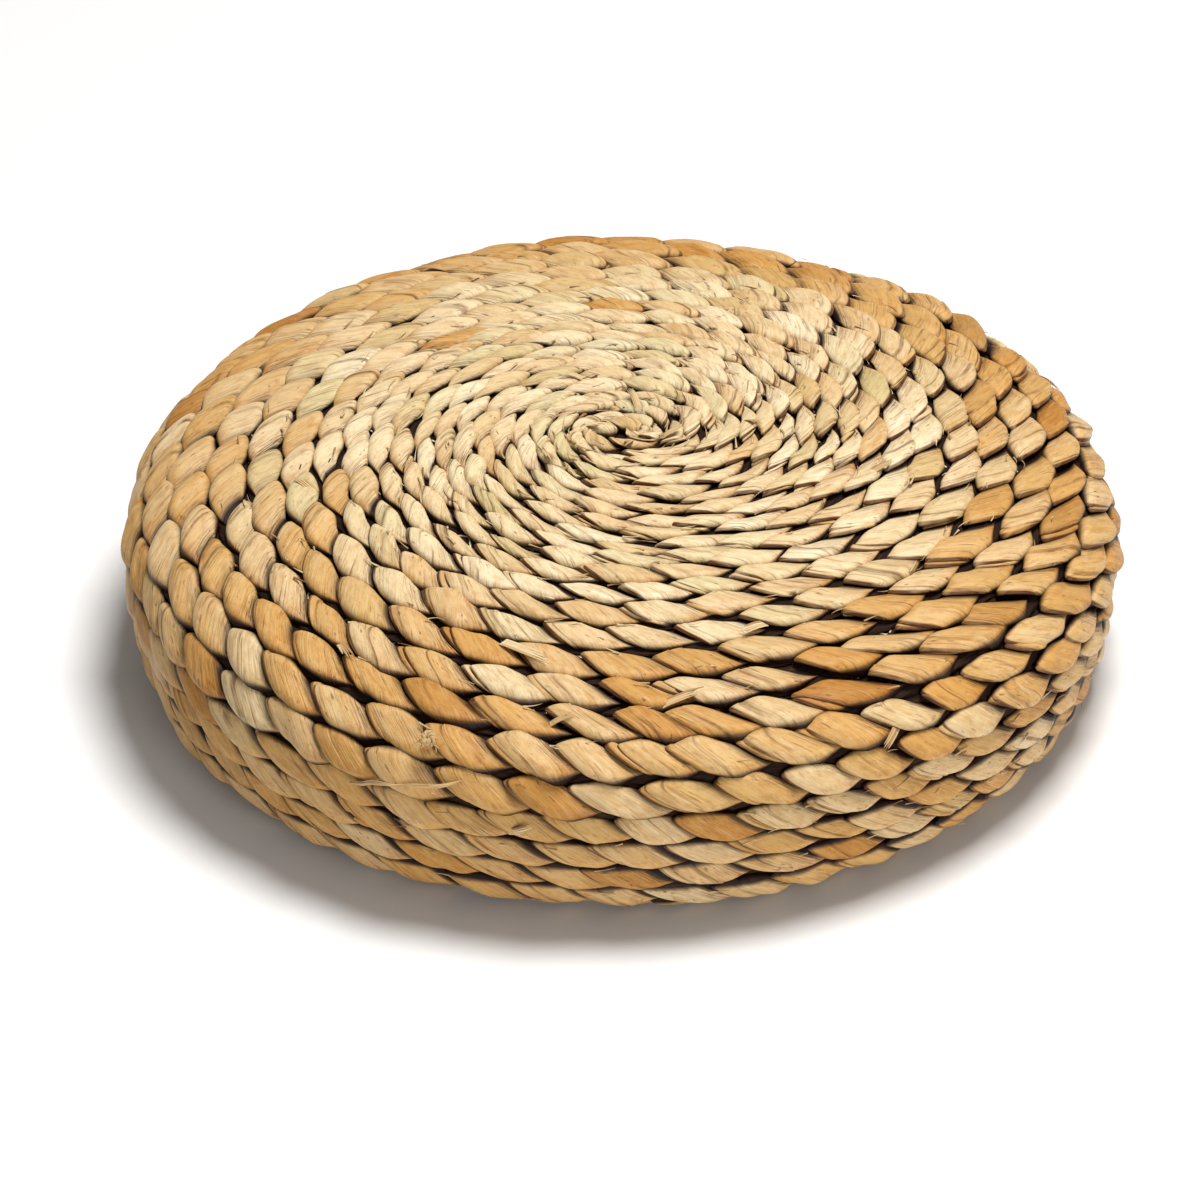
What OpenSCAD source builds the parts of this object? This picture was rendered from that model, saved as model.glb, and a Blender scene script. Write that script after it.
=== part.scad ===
// Round woven floor cushion: a flat leaf braid is coiled from the middle of the top, over a
// rounded shoulder, down the wall and under the base, and is sewn turn to turn round a
// lined foam core. Origin: centre of the underside, +Z up, front towards -Y. Millimetres.

/* [Cushion] */
// Outside diameter at the widest turn
diameter = 400; // [360:10:460]
// Height from the underside to the crown
height = 105; // [96:3:150]
// Slope of the crown half-way out, degrees
crown_slope = 5; // [3:0.5:7]
// Slope where the crown rolls into the shoulder, degrees
shoulder_slope = 18; // [14:1:22]
// Lean of the wall's lower end past upright, degrees
wall_lean = 14; // [8:1:20]

/* [Braid] */
// Thickness of the flat braid
braid_t = 6; // [5:0.25:6.5]
// Turns from the crown to the edge of the flat base, the coil's start among them
outer_turns = 26; // [24:1:27]
// Turns of the flat base, its start among them
base_turns = 15; // [12:1:16]
// Width of a shoulder turn over that of an inner turn
shoulder_ratio = 1.9; // [1.5:0.1:2]
// Width of a wall turn over that of an inner turn
wall_ratio = 1.43; // [1.3:0.05:1.6]
// Gap left between neighbouring turns
turn_gap = 0.3; // [0.25:0.05:0.4]

/* [Sewing] */
// Diameter of the thread that sews turn to turn
thread_d = 0.8; // [0.5:0.1:0.9]
// Diameter of the cord that closes the base to the wall
closing_d = 1.2; // [1:0.1:1.3]

/* [Tie on the front] */
// Bearing of the grass knot, degrees from the front, positive to the right
knot_bearing = -22.5; // [-40:2.5:0]
// Diameter of the knot
knot_d = 7; // [5:0.5:9]
// Diameter of the loose strand by the knot
strand_d = 1.8; // [1.4:0.2:2.4]

/* [Inside] */
// Thickness of the non-woven lining
lining_t = 0.6; // [0.4:0.1:0.8]
// Clearance between the lining and its neighbours
inner_gap = 0.3; // [0.2:0.05:0.4]
// Thickness of each lower foam disc
foam_t = 24; // [20:1:28]

/* [Hidden] */
$fn = 96;
SECTION_FN = 32;
RAD = 180 / PI;

// ---- Meridian: the mid-thickness line of the braid, five arcs and a flat, tangent to
// each other. Every arc is given by its radius and its first and last slope.
half_t = braid_t / 2;
mid_r = diameter / 2 - half_t;
crown_r = mid_r * 0.5;
roll_r = mid_r * 0.9;
arc_1 = crown_r / sin(crown_slope);
arc_2 = (roll_r - crown_r) / (sin(shoulder_slope) - sin(crown_slope));
arc_3 = (mid_r - roll_r) / (1 - sin(shoulder_slope));
arc_5 = diameter * 0.06 - half_t;
lean = 90 + wall_lean;
drop_1 = arc_1 * (1 - cos(crown_slope));
drop_2 = arc_2 * (cos(crown_slope) - cos(shoulder_slope));
drop_3 = arc_3 * cos(shoulder_slope);
drop_5 = arc_5 * (1 + cos(lean));
drop_4 = height - braid_t - drop_1 - drop_2 - drop_3 - drop_5;
arc_4 = drop_4 / -cos(lean);

// Lengths along the meridian at which each arc ends
end_1 = arc_1 * crown_slope / RAD;
end_2 = end_1 + arc_2 * (shoulder_slope - crown_slope) / RAD;
end_3 = end_2 + arc_3 * (90 - shoulder_slope) / RAD;
end_4 = end_3 + arc_4 * wall_lean / RAD;
end_5 = end_4 + arc_5 * (90 - wall_lean) / RAD;
wall_end_r = mid_r - arc_4 * (1 - sin(lean));
base_r = wall_end_r - arc_5 * sin(lean);
top_z = height - half_t;

// Slope of the meridian at length s
function slope_at(s) =
    s < end_1 ? s / arc_1 * RAD :
    s < end_2 ? crown_slope + (s - end_1) / arc_2 * RAD :
    s < end_3 ? shoulder_slope + (s - end_2) / arc_3 * RAD :
    s < end_4 ? 90 + (s - end_3) / arc_4 * RAD :
    s < end_5 ? lean + (s - end_4) / arc_5 * RAD : 180;

// Point of an arc of radius a that starts at p with slope u and has reached slope v
function arc_point(p, a, u, v) = p + a * [sin(v) - sin(u), cos(v) - cos(u)];

p_1 = arc_point([0, top_z], arc_1, 0, crown_slope);
p_2 = arc_point(p_1, arc_2, crown_slope, shoulder_slope);
p_3 = arc_point(p_2, arc_3, shoulder_slope, 90);
p_4 = arc_point(p_3, arc_4, 90, lean);

// [radius, height] of the meridian at length s
function mid_point(s) =
    s < end_1 ? arc_point([0, top_z], arc_1, 0, slope_at(s)) :
    s < end_2 ? arc_point(p_1, arc_2, crown_slope, slope_at(s)) :
    s < end_3 ? arc_point(p_2, arc_3, shoulder_slope, slope_at(s)) :
    s < end_4 ? arc_point(p_3, arc_4, 90, slope_at(s)) :
    s < end_5 ? arc_point(p_4, arc_5, lean, slope_at(s)) :
    [base_r - (s - end_5), half_t];

// The same point moved outwards by d, square to the meridian
function shell_point(s, d) = mid_point(s) + d * [sin(slope_at(s)), cos(slope_at(s))];

// ---- Turns: widths grow over the shoulder and settle on the wall
function ease(t) = let (u = min(max(t, 0), 1)) u * u * (3 - 2 * u);
grow_from = 10;
grow_to = 18;
settle_from = 19;
settle_to = 23;
function turn_weight(k) = 1
    + (shoulder_ratio - 1) * ease((k - grow_from) / (grow_to - grow_from))
    - (shoulder_ratio - wall_ratio) * ease((k - settle_from) / (settle_to - settle_from));
function weight_sum(k) = k < 1 ? 0 : weight_sum(k - 1) + turn_weight(k);
total_weight = weight_sum(outer_turns);

// Length along the meridian at the outer edge of turn k
function edge(k) = k <= outer_turns ? end_5 * weight_sum(k) / total_weight
    : end_5 + base_r * (k - outer_turns) / base_turns;

// Turn 1 is the coil's start. The rest are grouped by where they lie.
top_turns = 16;
shoulder_turns = 3;
heel_turns = 3;
wall_turns = outer_turns - 1 - top_turns - shoulder_turns - heel_turns;
shoulder_from = 1 + top_turns;
wall_from = shoulder_from + shoulder_turns;
heel_from = wall_from + wall_turns;
last_turn = outer_turns + base_turns;

function numbered(stem, i) = str(stem, i < 10 ? "_0" : "_", i);
function names(stem, count) = [for (i = [1:count]) numbered(stem, i)];

// ---- Braid turns
STRAW_TOP = "#e0cb9c";
STRAW_WALL = "#cfa868";
STRAW_BASE = "#c9a870";

// On a sloping turn the flats lie this much lower than the round edges, so that their
// faces cross; on the level base the flats are flush with the edges
flat_drop = 0.03;

// Flat strap with round edges, from length a to length b along the meridian
module strap_section(a, b, drop) {
    inset = half_t + turn_gap / 2;
    p = mid_point(a + inset);
    q = mid_point(b - inset);
    run = q - p;
    translate(p)
        circle(r = half_t, $fn = SECTION_FN);
    translate(q)
        circle(r = half_t, $fn = SECTION_FN);
    translate(p)
        rotate(atan2(run[1], run[0]))
            translate([0, drop - half_t])
                square([norm(run), braid_t - 2 * drop]);
}

module braid_turn(k, drop = flat_drop) {
    rotate_extrude()
        strap_section(edge(k - 1), edge(k), drop);
}

// Round button at the middle of a coil: a strap folded on itself
module coil_button(rim, z) {
    rotate_extrude()
        translate([0, z]) {
            translate([rim - half_t, 0])
                circle(r = half_t, $fn = SECTION_FN);
            translate([0, -half_t])
                square([rim - half_t, braid_t]);
        }
}

module top_turn(i) {
    color(STRAW_TOP)
        braid_turn(1 + i);
}

module shoulder_turn(i) {
    color(STRAW_WALL)
        braid_turn(shoulder_from + i);
}

module wall_turn(i) {
    color(STRAW_WALL)
        braid_turn(wall_from + i);
}

module heel_turn(i) {
    color(STRAW_WALL)
        braid_turn(heel_from + i);
}

module base_turn(i) {
    color(STRAW_BASE)
        braid_turn(outer_turns + i, 0);
}

module coil_start() {
    color(STRAW_TOP)
        coil_button(edge(1) - turn_gap / 2, top_z);
}

module base_start() {
    color(STRAW_BASE)
        coil_button(base_r / base_turns - turn_gap / 2, half_t);
}

// ---- Sewing: thread lies in the groove behind each pair of turns
module groove_ring(k, d, depth) {
    rotate_extrude()
        translate(shell_point(edge(k), -depth))
            circle(d = d, $fn = SECTION_FN);
}

groove_depth = half_t * 0.75;

module thread(first, last) {
    color("#e9e2d2")
        for (k = [first:last])
            groove_ring(k, thread_d, groove_depth);
}

module top_thread() {
    thread(1, shoulder_from);
}

module side_thread() {
    thread(shoulder_from + 1, outer_turns - 1);
}

module base_thread() {
    thread(outer_turns + 1, last_turn - 1);
}

module closing_cord() {
    color("#d8c7a0")
        groove_ring(outer_turns, closing_d, groove_depth);
}

// ---- Grass knot and loose strand on the left of the front shoulder
function surface_at(bearing, s, lift) =
    let (p = shell_point(s, half_t + lift))
    [p[0] * sin(bearing), -p[0] * cos(bearing), p[1]];

knot_s = edge(shoulder_from + 2);

module grass_knot() {
    color("#c69a5a")
        translate(surface_at(knot_bearing, knot_s, knot_d / 2 + inner_gap))
            sphere(d = knot_d);
}

// Strand: bearing from the knot, turn number and lift off the braid, at each point
STRAND_ROUTE = [
    [-9, 20.6, 2.4], [-7.5, 20.5, 2.0], [-6, 20.35, 1.8], [-4.5, 20.25, 1.9],
    [-3, 20.2, 2.2], [-1.5, 20.1, 2.6], [0, 20.05, 2.6], [1.5, 20.0, 2.2],
    [3, 19.9, 1.9], [4.5, 19.75, 2.2]];
STRAND_SIDES = 8;

function strand_point(e) = let (whole = floor(e[1]))
    surface_at(knot_bearing + e[0],
               edge(whole) + (e[1] - whole) * (edge(whole + 1) - edge(whole)), e[2]);

// Unit vector, and a ring of points round p square to direction t
function unit(v) = v / norm(v);
function ring(p, t, r) =
    let (side = unit(cross(t, [0, 0, 1])), up = cross(side, t))
    [for (i = [0:STRAND_SIDES - 1])
        let (a = 360 * i / STRAND_SIDES) p + r * (cos(a) * side + sin(a) * up)];

module loose_strand() {
    path = [for (e = STRAND_ROUTE) strand_point(e)];
    last = len(path) - 1;
    rings = [for (i = [0:last])
        ring(path[i], unit(path[min(i + 1, last)] - path[max(i - 1, 0)]), strand_d / 2)];
    points = [for (r = rings) each r];
    sides = [for (i = [0:last - 1], j = [0:STRAND_SIDES - 1])
        let (a = i * STRAND_SIDES + j, b = i * STRAND_SIDES + (j + 1) % STRAND_SIDES)
        [a, b, b + STRAND_SIDES, a + STRAND_SIDES]];
    first_cap = [for (j = [STRAND_SIDES - 1:-1:0]) j];
    last_cap = [for (j = [0:STRAND_SIDES - 1]) last * STRAND_SIDES + j];
    color("#d6ab72")
        polyhedron(points, concat([first_cap], sides, [last_cap]));
}

// ---- Lining: top panel, side band and base panel, laid against the back of the braid
lining_in = half_t + inner_gap;
seam_top = edge(shoulder_from + 2);
seam_base = edge(outer_turns - 1);
seam_gap = 0.4;

// Lengths from a to b in n equal steps
function steps(a, b, n) = [for (i = [0:n]) a + (b - a) * i / n];

// Thin skin that follows the meridian through the given lengths
module skin(lengths) {
    face = [for (s = lengths) shell_point(s, -lining_in)];
    back = [for (i = [len(lengths) - 1:-1:0]) shell_point(lengths[i], -lining_in - lining_t)];
    rotate_extrude()
        polygon(concat(face, back));
}

module lining_top() {
    color("#f1ede2")
        skin(concat([0.01], steps(end_1 / 3, end_1, 2), steps(end_1 + 10, end_2, 4),
                    steps(end_2 + 4, seam_top - seam_gap, 3)));
}

module lining_side() {
    color("#efe9da")
        skin(concat(steps(seam_top + seam_gap, end_3, 3), steps(end_3 + 6, end_4, 4),
                    steps(end_4 + 4, seam_base - seam_gap, 3)));
}

module lining_base() {
    color("#ece5d3")
        skin(concat(steps(seam_base + seam_gap, end_5, 4), [end_5 + base_r - 0.01]));
}

// ---- Foam core: a crown pad on three discs, cut to the inside of the lining
core_in = lining_in + lining_t + inner_gap;
core_floor = half_t + core_in;

module core_outline() {
    lengths = concat(steps(end_1 / 4, end_1, 3), steps(end_1 + 10, end_2, 4),
                     steps(end_2 + 3, end_3, 6), steps(end_3 + 6, end_4, 4),
                     steps(end_4 + 3, end_5, 6));
    polygon(concat([[0, core_floor], [0, top_z - core_in]],
                   [for (s = lengths) shell_point(s, -core_in)]));
}

// The slice of the core between two heights
module core_slice(low, high) {
    rotate_extrude()
        intersection() {
            core_outline();
            translate([0, low])
                square([diameter, high - low]);
        }
}

// Floor of the foam's layer i, counted from the bottom, and of the pad above the third
function layer_low(i) = core_floor + i * foam_t + (i > 0 ? inner_gap : 0);

module foam_disc(i) {
    color("#f2efe6")
        core_slice(layer_low(i), core_floor + (i + 1) * foam_t);
}

module foam_disc_lower() {
    foam_disc(0);
}

module foam_disc_middle() {
    foam_disc(1);
}

module foam_disc_upper() {
    foam_disc(2);
}

module crown_pad() {
    color("#f6efdc")
        core_slice(layer_low(3), height);
}

// ---- Assembly
coil_start();
for (i = [1:top_turns])
    top_turn(i);
for (i = [1:shoulder_turns])
    shoulder_turn(i);
for (i = [1:wall_turns])
    wall_turn(i);
for (i = [1:heel_turns])
    heel_turn(i);
for (i = [1:base_turns - 1])
    base_turn(i);
base_start();
top_thread();
side_thread();
base_thread();
closing_cord();
grass_knot();
loose_strand();
lining_top();
lining_side();
lining_base();
crown_pad();
foam_disc_upper();
foam_disc_middle();
foam_disc_lower();
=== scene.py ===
"""Looks of the round woven cushion: a leaf braid coiled over a lined foam core."""

import math

import bpy
import numpy as np
from mathutils import Matrix, Vector


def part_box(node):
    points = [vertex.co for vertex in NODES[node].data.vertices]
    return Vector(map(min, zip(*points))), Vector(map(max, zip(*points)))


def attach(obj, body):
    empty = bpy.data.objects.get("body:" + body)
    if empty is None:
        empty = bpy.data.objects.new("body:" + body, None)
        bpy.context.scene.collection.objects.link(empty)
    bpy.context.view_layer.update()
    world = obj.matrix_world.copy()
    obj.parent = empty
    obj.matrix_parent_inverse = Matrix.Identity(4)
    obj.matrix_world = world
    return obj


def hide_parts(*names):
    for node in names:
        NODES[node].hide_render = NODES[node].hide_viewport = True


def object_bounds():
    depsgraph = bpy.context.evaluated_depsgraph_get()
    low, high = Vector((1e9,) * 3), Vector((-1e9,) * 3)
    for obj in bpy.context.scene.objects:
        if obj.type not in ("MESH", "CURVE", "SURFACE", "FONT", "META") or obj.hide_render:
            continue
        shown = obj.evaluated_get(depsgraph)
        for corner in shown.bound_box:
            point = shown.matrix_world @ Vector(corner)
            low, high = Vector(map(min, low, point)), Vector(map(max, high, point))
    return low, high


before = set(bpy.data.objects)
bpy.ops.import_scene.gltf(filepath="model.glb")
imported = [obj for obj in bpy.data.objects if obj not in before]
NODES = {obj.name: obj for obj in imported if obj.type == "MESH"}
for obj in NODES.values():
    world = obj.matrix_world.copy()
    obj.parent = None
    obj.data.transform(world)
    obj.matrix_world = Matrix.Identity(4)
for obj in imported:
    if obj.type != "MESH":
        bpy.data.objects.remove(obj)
CAD_LO, CAD_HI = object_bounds()
MM = 0.001
FULL_TURN = 6.28
rng = np.random.default_rng(343)


def new_object(name, data):
    ob = bpy.data.objects.new(name, data)
    bpy.context.scene.collection.objects.link(ob)
    return ob


# ---- camera
CAM_DISTANCE = 2.8
CAM_ELEVATION = math.radians(32.5)
CAM_ROLL = math.radians(-0.6)
CAM_LENS = 210.4
CAM_AIM = Vector((-0.009, 0.0, 0.0222))
top_centre = Vector((0, 0, CAD_HI.z))
back = Vector((0, -math.cos(CAM_ELEVATION), math.sin(CAM_ELEVATION)))
cam_data = bpy.data.cameras.new("main_camera")
cam_data.lens = CAM_LENS
cam_data.sensor_width = 36
cam_data.clip_start = 0.05
cam_data.clip_end = 40
cam = new_object("main_camera", cam_data)
cam_at = top_centre + back * CAM_DISTANCE
turn_to = (cam_at - CAM_AIM).to_track_quat("Z", "Y").to_matrix().to_4x4()
cam.matrix_world = Matrix.Translation(cam_at) @ turn_to @ Matrix.Rotation(CAM_ROLL, 4, "Z")
bpy.context.scene.camera = cam

# ---- meridian
# The mid-thickness line of the braid, as the CAD model has it: five arcs and a flat.
DIAMETER = CAD_HI.x - CAD_LO.x
HEIGHT = CAD_HI.z - CAD_LO.z
strap_lo, strap_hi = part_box("base_start")
HALF_T = (strap_hi.z - strap_lo.z) / 2
CROWN, SHOULDER, LEAN = (math.radians(a) for a in (5, 18, 104))
CROWN_SHARE, ROLL_SHARE = 0.5, 0.9  # shares of the radius where the crown and the top end
HEEL_SHARE = 0.06  # radius of the heel, as a share of the diameter
ARC_POINTS = 200
MID_R = DIAMETER / 2 - HALF_T
CROWN_R, ROLL_R = CROWN_SHARE * MID_R, ROLL_SHARE * MID_R
ARC_1 = CROWN_R / math.sin(CROWN)
ARC_2 = (ROLL_R - CROWN_R) / (math.sin(SHOULDER) - math.sin(CROWN))
ARC_3 = (MID_R - ROLL_R) / (1 - math.sin(SHOULDER))
ARC_5 = HEEL_SHARE * DIAMETER - HALF_T
drops = (
    ARC_1 * (1 - math.cos(CROWN))
    + ARC_2 * (math.cos(CROWN) - math.cos(SHOULDER))
    + ARC_3 * math.cos(SHOULDER)
    + ARC_5 * (1 + math.cos(LEAN))
)
ARC_4 = (HEIGHT - 2 * HALF_T - drops) / -math.cos(LEAN)
ARCS = [
    (ARC_1, 0.0, CROWN),
    (ARC_2, CROWN, SHOULDER),
    (ARC_3, SHOULDER, math.pi / 2),
    (ARC_4, math.pi / 2, LEAN),
    (ARC_5, LEAN, math.pi),
]


def meridian():
    """Length, radius, height and slope along the line, closely sampled."""
    s, r, z, a = [0.0], [0.0], [HEIGHT - HALF_T], [0.0]
    for radius, first, last in ARCS:
        s0, r0, z0 = s[-1], r[-1], z[-1]
        for v in np.linspace(first, last, ARC_POINTS)[1:]:
            s.append(s0 + radius * (v - first))
            r.append(r0 + radius * (math.sin(v) - math.sin(first)))
            z.append(z0 + radius * (math.cos(v) - math.cos(first)))
            a.append(v)
    side = s[-1]
    s.append(side + r[-1])
    r.append(0.0)
    z.append(z[-1])
    a.append(math.pi)
    return side, np.array(s), np.array(r), np.array(z), np.array(a)


SIDE_END, MER_S, MER_R, MER_Z, MER_A = meridian()
BASE_R = MER_S[-1] - SIDE_END

# ---- turns
CAD_SLACK = 0.6 * MM


def stem_nodes(stem):
    return sorted(n for n in NODES if n.startswith(stem + "_") and n[-1].isdigit())


turn_nodes = ["coil_start"]
for stem in ("top_turn", "shoulder_turn", "wall_turn", "heel_turn"):
    turn_nodes += stem_nodes(stem)
OUTER = len(turn_nodes)
turn_nodes += stem_nodes("base_turn") + ["base_start"]
TURNS = len(turn_nodes)
TOP_LAST = 1 + len(stem_nodes("top_turn"))


def unit(v):
    return v / np.linalg.norm(v, axis=-1, keepdims=True)


def outward(phi, a):
    """The direction out of the meridian where its slope is a, at bearing phi."""
    return np.stack([np.sin(a) * np.sin(phi), -np.sin(a) * np.cos(phi), np.cos(a)], axis=-1)


def ease(t):
    """A smooth step from 0 to 1."""
    t = np.clip(t, 0, 1)
    return t * t * (3 - 2 * t)


def turn_weight(k):
    """Relative width of turn k: wider over the shoulder, narrower again on the wall."""
    return 1 + 0.9 * ease((k - 10) / 8) - 0.47 * ease((k - 19) / 4)


weights = np.array([turn_weight(k) for k in range(1, OUTER + 1)])
EDGES = np.concatenate(
    [
        [0],
        SIDE_END * np.cumsum(weights) / weights.sum(),
        SIDE_END + BASE_R * np.arange(1, TURNS - OUTER + 1) / (TURNS - OUTER),
    ]
)
for k, node in enumerate(turn_nodes, 1):
    widest = np.interp(np.linspace(EDGES[k - 1], EDGES[k], 9), MER_S, MER_R).max()
    if abs(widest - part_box(node)[1].x) > HALF_T + CAD_SLACK:
        raise SystemExit(f"{node} isn't where the meridian puts it")

# ---- braid path
# TAU counts turns from the centre out; each PATH table is read at the same places.
STEP = 1 / 540
BLUR = 67  # steps on each side over which the turns' widths blend
TAU = np.arange(0.04, TURNS - 0.10, STEP)
raw_s = np.interp(TAU, np.arange(TURNS + 1), EDGES)
window = np.ones(2 * BLUR + 1) / (2 * BLUR + 1)
PATH_S = np.convolve(np.pad(raw_s, BLUR, mode="reflect", reflect_type="odd"), window, "valid")
PITCH = np.gradient(PATH_S, STEP)


def waves(x, lengths, seed):
    """Smooth seeded wander along x, about -1 to 1."""
    g = np.random.default_rng(seed)
    y = np.zeros_like(x)
    for w in lengths:
        y = y + np.sin(2 * np.pi * x / w + g.uniform(0, FULL_TURN)) * g.uniform(0.6, 1.0)
    return y / len(lengths)


# How much of the side, base and heel there is at each place, from 0 to 1
on_side = ease((TAU - TOP_LAST + 3) / 4) * (1 - ease((TAU - OUTER + 1) / 2))
on_base = ease((TAU - OUTER + 1.2) / 1.6)
on_heel = ease((TAU - OUTER + 6.3) / 3)
at_corner = np.exp(-(((TAU - OUTER + 0.4) / 0.7) ** 2))


def zoned(top, side=0.0, heel=0.0, base=0.0):
    """A table with one value on the top and something added to it in the other zones."""
    return top + side * on_side + heel * on_heel + base * on_base


inset = (zoned(0.4, 0.9, 0, 1.6) + 1.35 * at_corner) * MM
OVAL = 9 * MM * np.exp(-TAU / 2.5)  # the first turns are drawn out sideways
PHI = 2 * np.pi * TAU
slope = np.interp(PATH_S, MER_S, MER_A)
rough_x = np.cumsum(np.hypot(np.interp(PATH_S, MER_S, MER_R), 0.004)) * 2 * np.pi * STEP
lift_b = waves(rough_x, (0.31, 0.173, 0.097, 0.061), 5) * (1.2 + 0.6 * on_side) * MM
lift_n = waves(rough_x, (0.27, 0.141, 0.083), 6) * (0.8 - 0.5 * on_base) * MM
path_s = PATH_S + lift_b
path_r = np.interp(path_s, MER_S, MER_R) + np.sin(slope) * (lift_n - inset)
path_z = np.interp(path_s, MER_S, MER_Z) + np.cos(slope) * (lift_n - inset)
PATH_P = np.stack(
    [(path_r + OVAL) * np.sin(PHI), -path_r * np.cos(PHI), path_z], axis=1
)
PATH_T = unit(np.gradient(PATH_P, axis=0))
PATH_N = outward(PHI, slope)
PATH_N = unit(PATH_N - (PATH_N * PATH_T).sum(1, keepdims=True) * PATH_T)
PATH_B = np.cross(PATH_T, PATH_N)
PATH_X = np.concatenate(
    [[0], np.cumsum(np.linalg.norm(np.diff(PATH_P, axis=0), axis=1))]
)


def along(x, table):
    """A table of the path, read at arc length x."""
    if table.ndim == 1:
        return np.interp(x, PATH_X, table)
    return np.stack([np.interp(x, PATH_X, table[:, i]) for i in range(3)], axis=-1)


# Half-width, half-thickness, tilt and squareness of the braid's section along the path
overlap = zoned(-1.7, -0.65, 1.2, 0.6) * MM
HALF_U = (PITCH + overlap) / 2
HALF_W = zoned(2.9, 1.0, -0.6, 0.3) * MM
TILT = np.radians(zoned(3, 3, 7, -13))
SQUARE = zoned(0.74, 0.06)
# From one lozenge to the next; they get shorter towards both ends of the braid
SPACING = (22.5 + 4.0 * ease((TAU - 8) / 9) - 3.0 * on_base) * MM
SPACING *= np.clip(0.52 + 0.11 * TAU, 0, 1) * np.clip(0.45 + 0.35 * (TURNS - TAU), 0, 1)


# ---- mesh helpers
def mesh_object(name, verts, quads, attributes, slots=None):
    """A mesh from arrays; attributes are point floats; slots is a material index per face."""
    me = bpy.data.meshes.new(name)
    n, m = len(verts), len(quads)
    width = quads.shape[1]
    me.vertices.add(n)
    me.vertices.foreach_set("co", np.ascontiguousarray(verts, np.float32).ravel())
    me.loops.add(m * width)
    me.loops.foreach_set("vertex_index", np.ascontiguousarray(quads, np.int32).ravel())
    me.polygons.add(m)
    me.polygons.foreach_set("loop_start", np.arange(0, m * width, width, dtype=np.int32))
    me.polygons.foreach_set("use_smooth", np.ones(m, bool))
    if slots is not None:
        me.polygons.foreach_set("material_index", np.ascontiguousarray(slots, np.int32))
    me.update(calc_edges=True)
    for key, values in attributes:
        made = me.attributes.new(key, "FLOAT", "POINT")
        made.data.foreach_set("value", np.ascontiguousarray(values, np.float32).ravel())
    return new_object(name, me)


def grid_quads(rows, cols, wrap=False):
    """Quads of a rows x cols grid of points, facing row direction x column direction."""
    i, j = np.meshgrid(np.arange(rows - 1), np.arange(cols - (0 if wrap else 1)), indexing="ij")
    j2 = (j + 1) % cols
    return np.stack(
        [i * cols + j, (i + 1) * cols + j, (i + 1) * cols + j2, i * cols + j2], axis=-1
    ).reshape(-1, 4)


def shell_quads(rows, cols):
    """Quads of a closed thin shell: an outer and an inner grid, joined round the rim."""
    outer = grid_quads(rows, cols)
    inner = outer[:, ::-1] + rows * cols
    top = np.arange(cols)
    bottom = (rows - 1) * cols + np.arange(cols)
    left = np.arange(rows) * cols
    right = left + cols - 1
    off = rows * cols

    def strip(line):
        a, b = line[:-1], line[1:]
        return np.stack([a, b, b + off, a + off], axis=-1)

    return np.concatenate(
        [outer, inner, strip(top), strip(right), strip(bottom[::-1]), strip(left[::-1])]
    )


def joined_faces(parts):
    """Faces of several meshes in one; a part starts with its verts and its faces."""
    starts = np.cumsum([0] + [len(part[0]) for part in parts[:-1]])
    return np.concatenate([part[1] + start for part, start in zip(parts, starts)])


def place(x, u, w, tilt):
    """Points at arc length x, u across and w out of the path, section turned by tilt."""
    c, s = np.cos(tilt), np.sin(tilt)
    uu, ww = u * c - w * s, w * c + u * s
    return (
        along(x, PATH_P) + along(x, PATH_B) * uu[..., None] + along(x, PATH_N) * ww[..., None]
    )


# ---- leaf lozenges
# A lozenge is a grid over the row's oval section. The angle psi runs across the row, from 0 at
# its inner edge to pi at its outer one. c runs along the row, from -1 at the leading edge on the
# left to 1 at the tail, which is tucked under the next lozenge.
ROWS = 30
SPAN = np.radians([-34, 214])
BASE_C = np.array(
    [-1, -0.975, -0.93, -0.87, -0.78, -0.67, -0.54, -0.4, -0.25, -0.08, 0.1, 0.28, 0.46, 0.64, 0.82, 1]
)
FREE_END = 4 * MM
END_GAP = 0.02
SKIN = 0.45 * MM
STEP_EDGE = 0.02
STEP_CHANCE = [0.55, 0.25]
SWEEP_BACK = 0.42  # puts the middle of the slant near a lozenge's centre
PAST_EDGE = 0.8  # slope of the slant round the row's edges
CORNER_TO = 0.26
TAPER = 0.32

RUN = zoned(12.5, 4.7) * MM  # how far a lozenge slants along the row
TAIL = zoned(2.4, 0.6) * MM  # how far its tail goes under the next one
SWELL = zoned(1.75, 0.75, -1.05, 0.45) * MM
FALL = zoned(2.1, 0.9, -0.6) * MM  # how deep the tail goes
CORNER = zoned(0.09, 0.07)
# Where the painted shade of a tail tucked under the next lozenge begins, along the row
SHADE_TUCK_AT = zoned(0.64, -0.04, -0.05)
SHADE_TO = zoned(0.3, 0.19)  # height on the oval at which the painted shade of the groove ends
SHADE_SOFT = zoned(0.36, 0, -0.08)
SHADE_SHARE = zoned(0.86, 0.14)
HEEL_INNER, HEEL_OUTER = 0.42, -0.24  # what the heel adds to SHADE_TO on each half of a row


def lozenge_places():
    """Arc length of every lozenge's centre, spaced along the whole braid."""
    out, x = [], FREE_END
    while x < PATH_X[-1] - FREE_END:
        out.append(x)
        x += float(along(x, SPACING)) * rng.uniform(0.86, 1.14)
    return np.array(out)


LOZ_X = lozenge_places()
COUNT = len(LOZ_X)
LOZ_TAU = along(LOZ_X, TAU)
LOZ_TURN = np.floor(LOZ_TAU).astype(int) + 1
GAP_NEXT = np.append(np.diff(LOZ_X), END_GAP)
GAP_PREV = np.append(END_GAP, np.diff(LOZ_X))


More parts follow.
